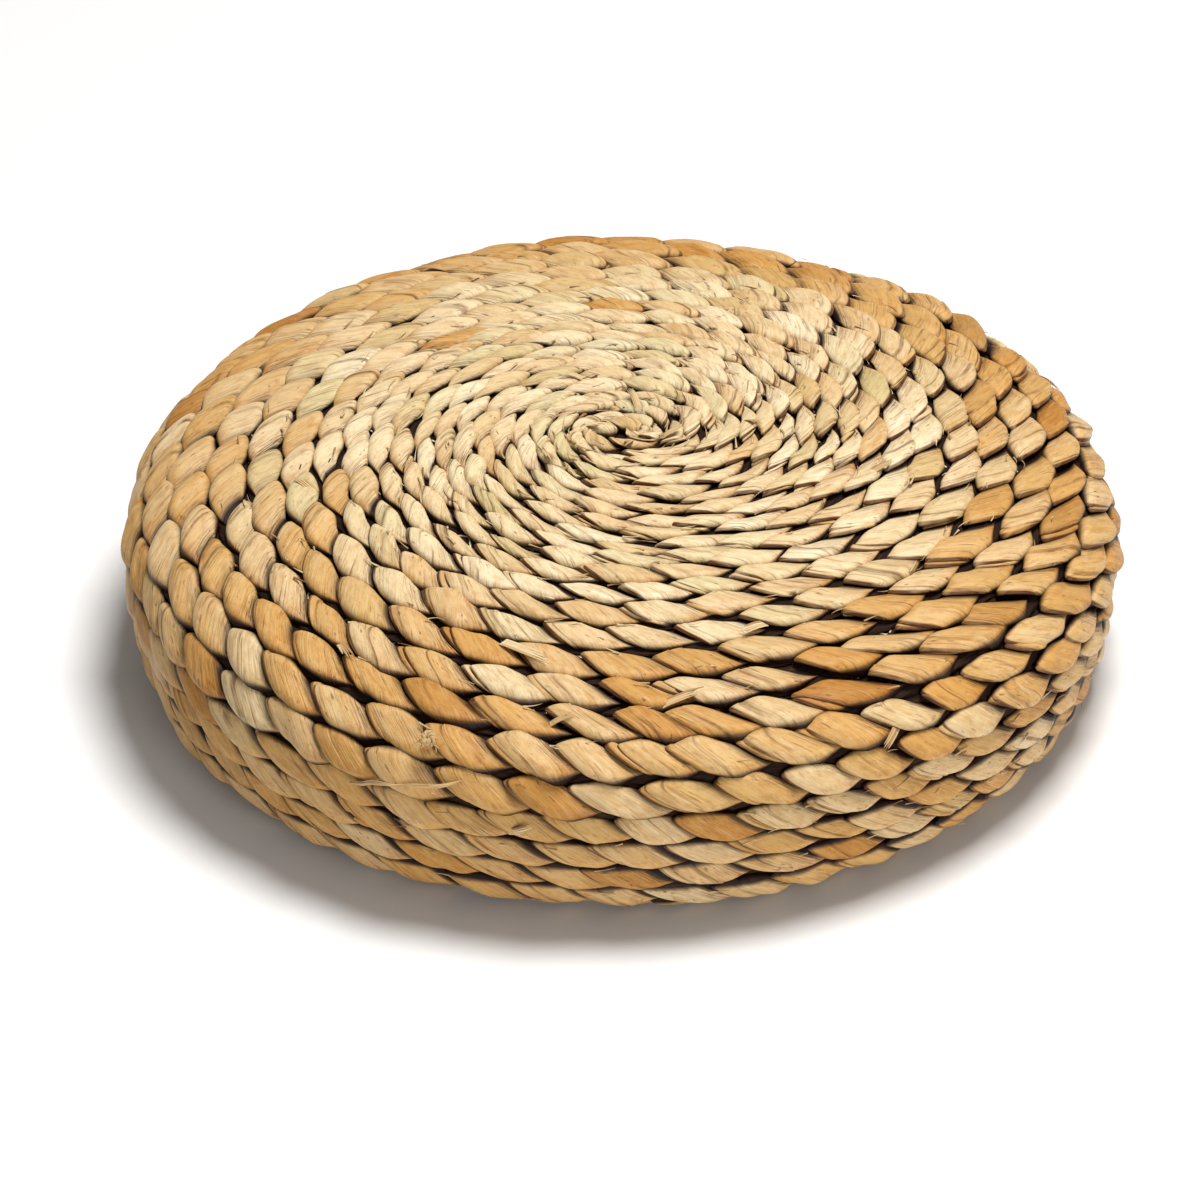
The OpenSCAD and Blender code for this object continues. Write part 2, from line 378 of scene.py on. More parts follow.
def leaf_steps(g, n):
    """Columns of n lozenges with two small steps, the steps' height and where their lines show."""
    at = np.sort(g.uniform(-0.9, -0.1, (n, 2)), axis=1)
    at[:, 1] = np.maximum(at[:, 1], at[:, 0] + 0.08)
    by = g.choice([-1, 1], (n, 2), p=[0.7, 0.3]) * g.uniform(0.12, 0.45, (n, 2)) * MM
    by *= g.random((n, 2)) < STEP_CHANCE
    c = np.concatenate([np.tile(BASE_C, (n, 1)), at - STEP_EDGE, at + STEP_EDGE], axis=1)
    c = np.sort(c, axis=1)
    jump, seam = 0, 0
    for i in range(2):
        far, step = c - at[:, i : i + 1], by[:, i : i + 1]
        jump = jump + step * np.clip(far / (2 * STEP_EDGE) + 0.5, 0, 1)
        seam = seam + (step != 0) * np.clip(1.6 - np.abs(far) / (1.2 * STEP_EDGE), 0, 1)
    return c[:, None, :], jump[:, None, :], seam[:, None, :]


def girth_of(oval_u, oval_w):
    """Length round the oval, from 0 where psi is 0 to 1 where it is pi."""
    stride = np.hypot(np.diff(oval_u, axis=1), np.diff(oval_w, axis=1))
    girth = np.concatenate([np.zeros((len(oval_u), 1, 1)), np.cumsum(stride, axis=1)], axis=1)
    spots = (np.array([0, np.pi]) - SPAN[0]) / (SPAN[1] - SPAN[0]) * (ROWS - 1)
    low, part = np.floor(spots).astype(int), spots - np.floor(spots)
    marks = girth[:, low] * (1 - part)[None, :, None] + girth[:, low + 1] * part[None, :, None]
    return (girth - marks[:, :1]) / (marks[:, 1:] - marks[:, :1])


def waves_2(g, n, a, c):
    """Soft dents over a lozenge."""
    out, each = 0, (n, 1, 1)
    for _ in range(3):
        size = g.normal(0, 0.6, each)
        turn = g.uniform(2, 6, each) * a + g.uniform(1, 4, each) * c
        out = out + size * np.sin(turn + g.uniform(0, FULL_TURN, each))
    return out


def relief(g, n, a, c, cos, sin, swell, fall, jump):
    """Height of the leaf over the oval: its hump, tail, crease, steps, waves, rim and dents."""
    each = (n, 1, 1)
    flat_hump = 1 - np.abs(c) ** np.where(c < 0, 3.4, 2.6)
    pointed_hump = 1 - np.abs(c) ** 1.3
    hump = (flat_hump * sin**2 + pointed_hump * cos**2) * (1 - 0.3 * c)
    ends = 0.68 + 0.75 * cos**2
    crease_at = g.uniform(-0.5, 0.3, each)
    crease = g.uniform(0.1, 1.0, each) * MM * (0.35 - np.abs(c - crease_at))
    h = swell * hump * ends - fall * ((c + 1) / 2) ** 1.6 + jump + crease * hump
    for wave in (2.1, 3.7, 6.3):
        size = g.normal(0, 0.16, each) * MM
        h = h + size * np.sin(wave * c + g.uniform(0, FULL_TURN, each) + 1.2 * a)
    curl = np.clip((-0.8 - c) / 0.2, 0, 1) ** 1.5
    curl = curl * g.uniform(-0.25, 0.35, each) * MM
    h = h + curl * np.sin(np.pi * np.clip(a * 1.2 - 0.1, 0, 1))
    h = h - 0.5 * MM * np.clip((-0.9 - c) / 0.1, 0, 1) ** 2
    h = h + g.normal(0, 0.2, each) * MM
    return h + 0.22 * MM * waves_2(g, n, a, c)


def lozenges(pick, under=False):
    """Verts, faces and attributes of the picked lozenges; under makes the strips below them."""
    g = np.random.default_rng(9000 + int(pick[0]) * 2 + under)
    n = len(pick)
    each = (n, 1, 1)

    def here(table):
        return along(LOZ_X[pick], table)[:, None, None]

    # near is 1 away from the centre of the coil; the leaves close to it are small and loose
    near = np.clip(LOZ_TAU[pick] / 5.0, 0.3, 1)[:, None, None]
    tilt = here(TILT) + g.normal(0, 0.03, each) * (1 + 8 * (1 - near))
    spread = (GAP_NEXT[pick] + GAP_PREV[pick])[:, None, None] / 2
    c, jump, seam = leaf_steps(g, n)
    cols = c.shape[2]
    a = np.linspace(0, 1, ROWS)[None, :, None]
    psi = SPAN[0] + (SPAN[1] - SPAN[0]) * a
    cos, sin = np.cos(psi), np.sin(psi)

    # The section is a squarish oval
    u_half, w_half, square = here(HALF_U), here(HALF_W), here(SQUARE)
    oval_u = -np.sign(cos) * np.abs(cos) ** square * u_half
    oval_w = np.sign(sin) * np.abs(sin) ** square * w_half
    girth = girth_of(oval_u, oval_w)

    # Where each point lies along the row: the lozenge slants from its inner to its outer edge
    run = here(RUN) * g.normal(1, 0.13, each) * (0.45 + 0.55 * near)
    face = np.where(psi < 0, 0, np.where(psi > np.pi, 1, (oval_u / u_half + 1) / 2))
    face = 0.5 * face + 0.5 * girth.clip(0, 1)
    beyond = np.where(psi < 0, girth, np.where(psi > np.pi, girth - 1, 0))
    corner = here(CORNER) * (np.clip((CORNER_TO - face) / CORNER_TO, 0, 1) ** 2)
    sweep = (face + 0.9 * face**2) / 1.9 + corner + PAST_EDGE * beyond - SWEEP_BACK
    taper = 1 - TAPER * np.abs(2 * a - 1) ** 3
    left = 0.5 * spread * g.uniform(0.99, 1.1, each)
    right = 0.5 * spread + here(TAIL)
    bend = g.normal(0, 0.7, each) * MM * np.sin(np.pi * a) * (2 - near)
    shift = g.normal(0, 0.45, each) * MM * (3.5 - 2.5 * near)
    if under:
        shift = shift - g.uniform(1.2, 2.8, each) * MM
    across = np.where(c < 0, c * left, c * right)
    x = LOZ_X[pick][:, None, None] + shift + bend + run * sweep + across * taper
    # What has to be added for the fibres to run straight
    bow = run * (sweep + SWEEP_BACK - PAST_EDGE * beyond - face)

    swell = here(SWELL) * near * g.normal(1, 0.16, each)
    h = relief(g, n, a, c, cos, sin, swell, here(FALL), jump)
    if under:
        h = h - 0.7 * MM - 2.2 * MM * np.clip((c + 0.75) / 0.3, 0, 1)
    loose = 1 + 4.0 * (1 - near)
    u_off = g.normal(0, 0.35, each) * MM * loose
    w_off = g.normal(0, 0.2, each) * MM * loose

    nu = -np.sign(cos) * np.abs(cos) ** (2 - square) / u_half
    nw = np.sign(sin) * np.abs(sin) ** (2 - square) / w_half
    size = np.sqrt(nu**2 + nw**2)
    layers = []
    for depth in (0, SKIN):
        u = oval_u + nu / size * (h - depth) + u_off
        w = oval_w + nw / size * (h - depth) + w_off
        layers.append(place(x, u, w, tilt).reshape(n, ROWS * cols, 3))
    verts = np.concatenate(layers, axis=1)

    # Painted shade: on the tail where it goes under the next lozenge, and down the row's sides into
    # the groove between turns
    tuck_shade = np.clip((c - here(SHADE_TUCK_AT)) / 0.1, 0, 1) ** 1.3
    shade_to = here(SHADE_TO) + np.where(cos > 0, HEEL_INNER, HEEL_OUTER) * here(on_heel)
    groove = np.clip((shade_to - sin) / here(SHADE_SOFT), 0, 1)
    groove = groove * here(SHADE_SHARE) * (0.5 + 0.5 * near)
    tone = TONE[pick]
    if under:
        tone = np.clip(tone + 0.16, 0, 1)
    # low carries the painted shade of the groove and of the tucked tail; rim and seam carry painted
    # shade lines along the leading edges and leaf steps
    told = {
        "fib_along": (a - 0.5) * run * 1.5 / MM,
        "fib_across": (across * taper + bow) * 0.62 / MM,
        "stain": np.clip((a - 0.52) / 0.36, 0, 1) * np.clip((c + 0.35) / 0.9, 0, 1),
        "rim": np.clip((-0.87 - c) / 0.06, 0, 1),
        "seam": np.clip(seam + (c < -0.985), 0, 1),
        "low": np.maximum(groove, 0.95 * tuck_shade),
        "fold": np.clip(np.maximum((c - 0.15) / 0.5, (np.abs(2 * a - 1) - 0.45) / 0.4), 0, 1),
        "tone": tone[:, None, None],
        "sage": SAGE[pick][:, None, None],
        "dirt": DIRT[pick][:, None, None],
        "pick": PICK[pick][:, None, None],
    }
    for key, value in told.items():
        flat = np.broadcast_to(value, (n, ROWS, cols)).reshape(n, ROWS * cols)
        told[key] = np.tile(flat, (1, 2)).reshape(-1)
    count = 2 * ROWS * cols
    faces = shell_quads(ROWS, cols)[None] + (np.arange(n) * count)[:, None, None]
    return verts.reshape(-1, 3), faces.reshape(-1, 4), told


def shell_read(lengths, out):
    """Radius, height and slope at these lengths of the meridian, out from the middle line."""
    a = np.interp(lengths, MER_S, MER_A)
    r = np.interp(lengths, MER_S, MER_R) + np.sin(a) * out
    z = np.interp(lengths, MER_S, MER_Z) + np.cos(a) * out
    return r, z, a


def shell_at(phi, lengths, out):
    """Points and normals at bearings in radians and lengths of the meridian."""
    r, z, a = shell_read(lengths, out)
    points = np.stack([r * np.sin(phi), -r * np.cos(phi), z], axis=-1)
    return points, outward(phi, a)


# Colour of each leaf: runs of the same leaf along the strand share a tone
PICK = rng.random(COUNT)
RARE_DARK = 0.06
strand_tone = np.zeros(COUNT)
for s in range(3):
    at = 0
    while at < COUNT:
        length = int(rng.integers(2, 9))
        strand_tone[at + s : at + s + 3 * length : 3] = (
            rng.uniform(0.5, 0.9) if rng.random() < RARE_DARK else rng.beta(4.2, 10.3)
        )
        at += 3 * length
on_side_loz = along(LOZ_X, on_side)
on_base_loz = along(LOZ_X, on_base)
TONE = np.clip(
    0.7 * strand_tone
    + 0.3 * rng.beta(2, 4, COUNT)
    + (0.19 + 0.34 * rng.beta(1.5, 3, COUNT)) * (on_side_loz + 0.6 * on_base_loz),
    0,
    1,
)
SAGE = np.clip(rng.beta(1.0, 3.0, COUNT) * 1.4 - 0.15, 0, 1) * (1 - 0.65 * on_side_loz)
DIRT = rng.beta(1.4, 2.6, COUNT)


# ---- materials
def srgb(text):
    """Linear colour of a hex triplet."""
    value = [int(text[i : i + 2], 16) / 255 for i in (0, 2, 4)]
    return tuple(v / 12.92 if v <= 0.04045 else ((v + 0.055) / 1.055) ** 2.4 for v in value) + (1.0,)


class Nodes:
    """A small helper over a material's node tree."""

    def __init__(self, name):
        self.material = bpy.data.materials.new(name)
        self.material.use_nodes = True
        self.tree = self.material.node_tree
        self.shader = self.tree.nodes["Principled BSDF"]

    def add(self, kind, **settings):
        node = self.tree.nodes.new(kind)
        for key, value in settings.items():
            setattr(node, key, value)
        return node

    def link(self, source, target):
        self.tree.links.new(source, target)

    def feed(self, sockets, values):
        """Give each socket its value: another socket, a number or the text of a colour."""
        for socket, value in zip(sockets, values):
            if isinstance(value, bpy.types.NodeSocket):
                self.link(value, socket)
            else:
                socket.default_value = srgb(value) if isinstance(value, str) else value

    def told(self, *names):
        """The mesh attributes of these names."""
        nodes = [self.add("ShaderNodeAttribute", attribute_name=name) for name in names]
        return [node.outputs["Fac"] for node in nodes]

    def math(self, operation, *values, clamp=False):
        node = self.add("ShaderNodeMath", operation=operation, use_clamp=clamp)
        self.feed(node.inputs, values)
        return node.outputs[0]

    def times(self, a, b, clamp=False):
        return self.math("MULTIPLY", a, b, clamp=clamp)

    def plus(self, a, b, clamp=False):
        return self.math("ADD", a, b, clamp=clamp)

    def vector(self, x, y, z):
        node = self.add("ShaderNodeCombineXYZ")
        self.feed(node.inputs, (x, y, z))
        return node.outputs[0]

    def noise(self, vector, scale, detail=4, rough=0.55):
        node = self.add("ShaderNodeTexNoise")
        node.inputs["Scale"].default_value = scale
        node.inputs["Detail"].default_value = detail
        node.inputs["Roughness"].default_value = rough
        self.link(vector, node.inputs["Vector"])
        return node.outputs["Fac"]

    def ramp(self, value, *stops):
        """A colour ramp; a stop is its position and the text of a colour, or a brightness."""
        node = self.add("ShaderNodeValToRGB")
        elements = node.color_ramp.elements
        while len(elements) > 1:
            elements.remove(elements[-1])
        for i, (position, colour) in enumerate(stops):
            element = elements.new(position) if i else elements[0]
            element.position = position
            element.color = srgb(colour) if isinstance(colour, str) else (colour,) * 3 + (1.0,)
        self.link(value, node.inputs["Fac"])
        return node.outputs["Color"]

    def mix(self, share, a, b, blend="MIX"):
        node = self.add("ShaderNodeMix", data_type="RGBA", blend_type=blend)
        self.feed((node.inputs[0], node.inputs[6], node.inputs[7]), (share, a, b))
        return node.outputs[2]

    def bump(self, height, distance):
        node = self.add("ShaderNodeBump")
        node.inputs["Distance"].default_value = distance
        node.inputs["Strength"].default_value = 1.0
        self.link(height, node.inputs["Height"])
        self.link(node.outputs["Normal"], self.shader.inputs["Normal"])

    def colour(self, source):
        self.link(source, self.shader.inputs["Base Color"])

    def finish(self, roughness):
        self.shader.inputs["Roughness"].default_value = roughness
        return self.material


LEAF_TONES = (
    (0.0, "ebe0c6"),
    (0.22, "e4d0a9"),
    (0.45, "d5b686"),
    (0.66, "cb9e5c"),
    (0.84, "c28c42"),
    (1.0, "b17a31"),
)
PICK_APART = 173.0  # moves each leaf's pattern to a place of its own in the noise


def leaf_material(name):
    n = Nodes(name)
    lengthwise, crosswise, tone, sage, pick = n.told("fib_along", "fib_across", "tone", "sage", "pick")
    stain, rim, dirt, low, seam, fold = n.told("stain", "rim", "dirt", "low", "seam", "fold")
    seed = n.times(pick, PICK_APART)

    def fibres(along_scale, across_scale, detail=4, rough=0.6):
        vector = n.vector(n.times(lengthwise, along_scale), n.times(crosswise, across_scale), seed)
        return n.noise(vector, 1.0, detail, rough)

    def moved(value, by, share):
        """value, moved up and down by a noise."""
        return n.plus(value, n.times(n.math("SUBTRACT", by, 0.5), share))

    coarse = fibres(0.045, 0.9)
    fine = fibres(0.08, 2.6, 3)
    cloud = fibres(0.10, 0.22, 3)
    # Leaf colour from the tone, moved by soft clouds and streaks
    shade = moved(moved(tone, cloud, 0.42), coarse, 0.3)
    shade = n.plus(shade, n.times(stain, 0.16), clamp=True)
    colour = n.ramp(shade, *LEAF_TONES)
    green = n.times(sage, n.plus(n.times(cloud, 0.9), 0.15), clamp=True)
    colour = n.mix(green, colour, "c3ba86")
    # Brown stain at the tails, and painted shade along the rims
    tail = n.times(dirt, n.plus(n.times(coarse, 1.6), 0.1))
    colour = n.mix(n.times(stain, tail, clamp=True), colour, "b06a20")
    # Painted shade: a dark line along each lozenge's leading rim
    rim_shade = n.times(rim, n.ramp(cloud, (0.34, 0.45), (0.54, 1.0)))
    colour = n.mix(rim_shade, colour, "553010")
    # Fibre streaks
    dark = n.ramp(coarse, (0.33, 1), (0.43, 0))
    colour = n.mix(n.times(dark, 0.5), colour, "ad8246", "MULTIPLY")
    pale = n.ramp(fine, (0.52, 0), (0.75, 1))
    colour = n.mix(n.times(pale, 0.22), colour, "f4e7c4")
    line = n.ramp(fibres(0.085, 1.5, 2), (0.27, 1), (0.34, 0))
    colour = n.mix(n.times(line, 0.45), colour, "6b4018")
    # Short dark folds where a leaf bends under its neighbour: painted shade in the folds, stronger on
    # dirtier leaves
    hatch = n.ramp(fibres(0.16, 2.3, 2), (0.43, 1), (0.51, 0))
    folded = n.times(fold, n.plus(n.times(dirt, 0.9), 0.25))
    colour = n.mix(n.times(hatch, folded, clamp=True), colour, "5c3210")
    # Leaf edges seen along a strand: dark lines at the leaf steps and the leading edge, painted shade
    # of the steps
    step_line_shade = n.times(seam, n.ramp(cloud, (0.38, 0.1), (0.62, 0.9)))
    colour = n.mix(step_line_shade, colour, "5f3a19")
    # Small dark specks
    speck = n.ramp(fibres(0.42, 0.75, 1, 0.4), (0.69, 0), (0.74, 1))
    speck = n.times(speck, n.plus(n.times(dirt, 0.6), 0.2))
    colour = n.mix(speck, colour, "5b3517")
    # A dry, blotchy bloom over the whole leaf
    blotch = n.ramp(fibres(0.3, 0.45, 5, 0.7), (0.38, 1), (0.55, 0))
    colour = n.mix(n.times(blotch, 0.4), colour, "cca46a", "MULTIPLY")
    # The sides of each strand, deep between the turns, and the tails tucked under the next lozenge get
    # painted shade, multiplied towards near black
    # Painted shade of the groove and tucked tail, multiplied in towards near black
    groove_shade = n.ramp(low, (0.0, 0), (0.4, 0.7), (0.85, 1.0))
    n.colour(n.mix(groove_shade, colour, "2e1608", "MULTIPLY"))
    height = n.plus(coarse, n.times(fine, 0.45))
    n.bump(n.math("SUBTRACT", height, n.times(line, 0.5)), 0.00045)
    rough = n.plus(n.times(coarse, 0.22), 0.40)
    n.link(rough, n.shader.inputs["Roughness"])
    n.shader.inputs["Specular IOR Level"].default_value = 0.24
    return n.material


def core_material():
    n = Nodes("under_leaf_painted_shade")
    lengthwise, crosswise = n.told("fib_along", "fib_across")
    vector = n.vector(n.times(lengthwise, 0.12), n.times(crosswise, 1.6), 4.0)
    streak = n.noise(vector, 1.0, 4, 0.6)
    # The strand behind is coloured near black: painted shade for the deep gaps between lozenges
    tones = ((0.3, "120803"), (0.55, "2a160a"), (0.75, "47290f"), (0.9, "6e451e"))
    n.colour(n.ramp(streak, *tones))
    n.bump(streak, 0.0006)
    n.shader.inputs["Specular IOR Level"].default_value = 0.2
    return n.finish(0.8)


LEAF = leaf_material("leaf")
CORE = core_material()


# ---- braid turns
ATTRIBUTES = (
    "fib_along", "fib_across", "stain", "rim", "seam", "low", "fold", "tone", "sage", "dirt", "pick",
)
CORE_SIDES = 20
CORE_STEP = 0.003
CORE_DEPTH = 1.6 * MM
CENTRE_TURNS = 5  # the turns whose lozenges are small and loose
STRIP_SHARE, STRIP_SHARE_CENTRE = 0.45, 0.85


def capped_tube(rings, sides):
    """Faces of a tube of rings, closed by fans round two last points."""
    walls = grid_quads(rings, sides, wrap=True)[:, ::-1]
    pairs = np.arange(0, sides, 2)
    fan = np.stack([pairs, pairs + 1, (pairs + 2) % sides], axis=-1)
    tip = np.full((len(fan), 1), rings * sides)
    first = np.concatenate([fan, tip], axis=1)
    last = np.concatenate([fan[:, ::-1] + (rings - 1) * sides, tip + 1], axis=1)
    return np.concatenate([walls, first, last])


def core_tube(first, last):
    """The hidden strand behind a turn's lozenges, from turn count first to last."""
    x0, x1 = np.interp([first, last], TAU, PATH_X)
    count = max(int((x1 - x0) / CORE_STEP), 12)
    x = np.linspace(x0, x1, count)[:, None]
    turn = (np.arange(CORE_SIDES) / CORE_SIDES * 2 * np.pi)[None, :]
    half = along(x[:, 0], PITCH)[:, None] / 2 + 0.6 * MM
    thick = along(x[:, 0], HALF_W)[:, None] * 0.36
    twist = 1 + 0.07 * np.sin(5 * turn + x / 0.004) + 0.04 * np.sin(3 * turn - x / 0.0023)
    u = -np.cos(turn) * half * twist
    w = np.sin(turn) * thick * twist - CORE_DEPTH
    xx = np.broadcast_to(x, u.shape)
    verts = place(xx, u, w, along(x[:, 0], TILT)[:, None]).reshape(-1, 3)
    middle = np.full(1, -CORE_DEPTH)
    tips = np.array([place(x[i], np.zeros(1), middle, 0.0)[0] for i in (0, -1)])
    told = {key: np.zeros(len(verts) + 2) for key in ATTRIBUTES}
    told["fib_along"][:-2] = (xx / MM).ravel()
    told["fib_across"][:-2] = (np.broadcast_to(turn, u.shape) * 3.0).ravel()
    return np.concatenate([verts, tips]), capped_tube(count, CORE_SIDES), told


def braid_turn(k, node):
    """One turn of the braid: its lozenges, the strips under their edges and the strand behind."""
    pick = np.nonzero(LOZ_TURN == k)[0]
    g = np.random.default_rng(700 + k)
    share = STRIP_SHARE if k > CENTRE_TURNS else STRIP_SHARE_CENTRE
    some = pick[g.random(len(pick)) < share]
    first, last = max(k - 1, float(TAU[0]) + 0.02), min(k, float(TAU[-1]) - 0.02)
    parts = [lozenges(pick)]
    if len(some):
        parts.append(lozenges(some, under=True))
    leaf_faces = sum(len(faces) for _, faces, _ in parts)
    parts.append(core_tube(first, last))
    faces = joined_faces(parts)
    ob = mesh_object(
        "braid_" + node,
        np.concatenate([part[0] for part in parts]),
        faces,
        [(key, np.concatenate([part[2][key] for part in parts])) for key in ATTRIBUTES],
        slots=np.arange(len(faces)) >= leaf_faces,
    )
    ob.data.materials.append(LEAF)
    ob.data.materials.append(CORE)
    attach(ob, "root")
    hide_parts(node)


for number, name in enumerate(turn_nodes, 1):
    braid_turn(number, name)


# ---- sewing and cord
STITCH = 0.0135
STITCH_STEP = 0.0017
UP_CHANCE = 0.05
WHIPS = 78


def tube(points, radius, sides=6, flat=1.0, twist=0.0, normals=(0.13, 0.21, 0.97)):
    """A closed tube along points; radius may vary; flat squeezes it; twist turns it per metre."""
    points = np.asarray(points, float)
    n = len(points)
    radius = np.broadcast_to(radius, (n,))
    t = unit(np.gradient(points, axis=0))
    side = unit(np.cross(t, np.asarray(normals)))
    up = np.cross(side, t)
    gone = np.concatenate([[0], np.cumsum(np.linalg.norm(np.diff(points, axis=0), axis=1))])
    spin = gone * twist
    a = np.arange(sides) / sides * 2 * np.pi
    cx, cy = np.cos(a)[None, :], np.sin(a)[None, :] * flat
    ca, sa = np.cos(spin)[:, None], np.sin(spin)[:, None]
    x, y = cx * ca - cy * sa, cx * sa + cy * ca
    ring = points[:, None] + radius[:, None, None] * (
        side[:, None] * x[..., None] + up[:, None] * y[..., None]
    )
    verts = np.concatenate([ring.reshape(-1, 3), points[:1], points[-1:]])
    lengthwise = np.concatenate([np.repeat(gone, sides), [0, gone[-1]]]) / MM
    crosswise = np.concatenate([np.tile(a, n), [0, 0]])
    return verts, capped_tube(n, sides), lengthwise, crosswise


def joined(name, parts, material, node=None, tones=None):
    """One piece from several tubes, each with its own tone, for a CAD node if it has one."""
    if tones is None:
        tones = [0.5] * len(parts)
    verts, lengthwise, crosswise = (np.concatenate([part[i] for part in parts]) for i in (0, 2, 3))
    tone = np.repeat(tones, [len(part[0]) for part in parts])
    told = [("fib_along", lengthwise), ("fib_across", crosswise), ("tone", tone)]
    ob = mesh_object(name, verts, joined_faces(parts), told)
    ob.data.materials.append(material)
    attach(ob, "root")
    if node:
        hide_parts(node)


def thread_material(name, light, dark, turns=2.2):
    """Twisted yarn: plies that wind round it, with fuzz in its tone."""
    n = Nodes(name)
    lengthwise, crosswise = n.told("fib_along", "fib_across")
    ply = n.math("SINE", n.plus(n.times(lengthwise, turns), n.times(crosswise, 2.0)))
    ply = n.plus(n.times(ply, 0.5), 0.5)
    fuzz = n.noise(n.vector(n.times(lengthwise, 0.8), crosswise, 1.0), 1.0, 4)
    share = n.times(n.plus(ply, fuzz), 0.5)
    n.colour(n.ramp(share, (0.2, dark), (0.7, light)))
    n.bump(share, 0.0002)
    return n.finish(0.75)


THREAD = thread_material("thread", "e9dfc6", "a98f63")
CORD = thread_material("cord", "cdb27c", "7d5f33", 1.4)


def between(tau, offset_s=0.0, offset_n=0.0):
    """A point of the groove between the row at turn count tau and the next one out."""
    s_b = (np.interp(tau, TAU, PATH_S) + np.interp(tau + 1, TAU, PATH_S)) / 2 + offset_s
    return shell_at(2 * np.pi * tau, s_b, offset_n)[0]


def girth_at(tau):
    radius = np.interp(np.interp(tau, TAU, PATH_S), MER_S, MER_R) + 2 * MM
    return 2 * np.pi * radius


def sewing(name, node, first, last, seed):
    """The thread that zigzags between two rows, with some of its stitches drawn up."""
    g = np.random.default_rng(seed)
    tau = [first]
    while tau[-1] < last:
        tau.append(tau[-1] + STITCH_STEP / girth_at(tau[-1]))
    tau = np.array(tau)
    gone = np.cumsum(girth_at(tau) * np.gradient(tau))
    wander = gone + 0.004 * waves(gone, (0.09, 0.05), seed)
    zig = np.sin(2 * np.pi * wander / STITCH)
    whole = np.floor(wander / STITCH).astype(int)
    up = g.random(whole.max() + 2) < UP_CHANCE
    rise = np.where(up[whole], 1.0, 0.0) * np.clip(1 - (zig / 0.75) ** 2, 0, 1)
    rise = np.convolve(rise, np.ones(3) / 3, "same")
    inset_here = np.interp(tau, TAU, inset)
    points = between(tau, zig * 2.6 * MM, -inset_here - 1.9 * MM + rise * 3.2 * MM)
    joined(name, [tube(points, 0.42 * MM)], THREAD, node)


sewing("sewing_top", "top_thread", 0.6, TOP_LAST + 0.5, 21)
sewing("sewing_side", "side_thread", TOP_LAST + 0.52, OUTER - 1.0, 22)
sewing("sewing_base", "base_thread", OUTER + 0.1, TURNS - 1.8, 23)

ring_tau = np.linspace(OUTER - 0.98, OUTER + 0.06, 760)
whip = 2 * np.pi * ring_tau * WHIPS
closing_points = between(
    ring_tau, 1.5 * MM * np.sin(whip), -np.interp(ring_tau, TAU, inset) + 0.5 * MM * np.cos(whip)
)
closing_tube = tube(closing_points, 0.6 * MM, 8)
joined("closing_whip", [closing_tube], CORD, "closing_cord")


# ---- lining and foam
LINING_DEPTH = 5.4 * MM
CLOTH = 0.6 * MM
CLOTH_GAP = 0.4 * MM  # between two panels, and between the cloth and the foam
SEAM_TOP = EDGES[TOP_LAST + 2]
SEAM_BASE = EDGES[OUTER - 1]
FOAM_EDGE = 0.8 * MM
RIPPLES = 7


def revolved(name, node, profile, steps, material, closed_loop, rough_by, seed):
    """A solid of revolution for a CAD node; an open profile starts and ends on the axis."""
    prof = np.asarray(profile, float)
    g = np.random.default_rng(seed)
    a = np.arange(steps) / steps * 2 * np.pi
    body = prof if closed_loop else prof[1:-1]
    ripple = np.zeros((len(body), steps))
    for _ in range(RIPPLES):
        m = int(g.integers(2, 15))
        ripple += np.sin(m * a[None, :] + g.uniform(0, FULL_TURN) + body[:, :1] * g.uniform(20, 90))
    ripple *= rough_by / RIPPLES
    r = body[:, :1] + ripple * 0.4
    z = body[:, 1:] + ripple
    verts = np.stack([r * np.sin(a), -r * np.cos(a), z], axis=-1).reshape(-1, 3)
    n = len(body)
    if closed_loop:
        faces = (grid_quads(n + 1, steps, wrap=True) % (n * steps)).tolist()
    else:
        faces = grid_quads(n, steps, wrap=True).tolist()
        top, bottom = len(verts), len(verts) + 1
        verts = np.concatenate([verts, [(0, 0, prof[0][1]), (0, 0, prof[-1][1])]])
        for k in range(steps):
            after = (k + 1) % steps
            faces.append((top, k, after))
            faces.append((bottom, (n - 1) * steps + after, (n - 1) * steps + k))
    me = bpy.data.meshes.new(name)
    me.from_pydata(verts.tolist(), [], faces)
    me.update()
    me.polygons.foreach_set("use_smooth", np.ones(len(me.polygons), bool))
    me.materials.append(material)
    ob = new_object(name, me)
    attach(ob, "root")
    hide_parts(node)
    return ob


def shell_line(lengths, depth):
    """Points [radius, height] at these lengths of the meridian, depth inside it."""
    r, z, _ = shell_read(lengths, -depth)
    return np.stack([r, z], axis=-1)


def cloth_material():
    n = Nodes("lining_cloth")
    place_at = n.add("ShaderNodeTexCoord").outputs["Object"]
    felt = n.noise(place_at, 900.0, 5, 0.65)
    spots = n.noise(place_at, 160.0, 3)
    share = n.plus(n.times(felt, 0.7), n.times(spots, 0.3))
    n.colour(n.ramp(share, (0.3, "c9bea4"), (0.7, "efe8d6")))
    n.bump(felt, 0.0003)
    n.shader.inputs["Sheen Weight"].default_value = 0.2
    return n.finish(0.92)


def foam_material(name, light, dark):
    n = Nodes(name)
    place_at = n.add("ShaderNodeTexCoord").outputs["Object"]
    cells = n.add("ShaderNodeTexVoronoi")
    cells.inputs["Scale"].default_value = 620.0
    n.link(place_at, cells.inputs["Vector"])
    pore = n.ramp(cells.outputs["Distance"], (0.0, 0), (0.5, 1))
    share = n.plus(n.times(pore, 0.6), n.times(n.noise(place_at, 40.0, 3), 0.4))
    n.colour(n.ramp(share, (0.15, dark), (0.75, light)))
    n.bump(pore, 0.0006)
    return n.finish(0.95)


LINING = cloth_material()
FOAM = foam_material("foam_cells", "f1ede0", "c4bba2")
CROWN_FOAM = foam_material("soft_foam_cells", "f3ead0", "cbb98f")


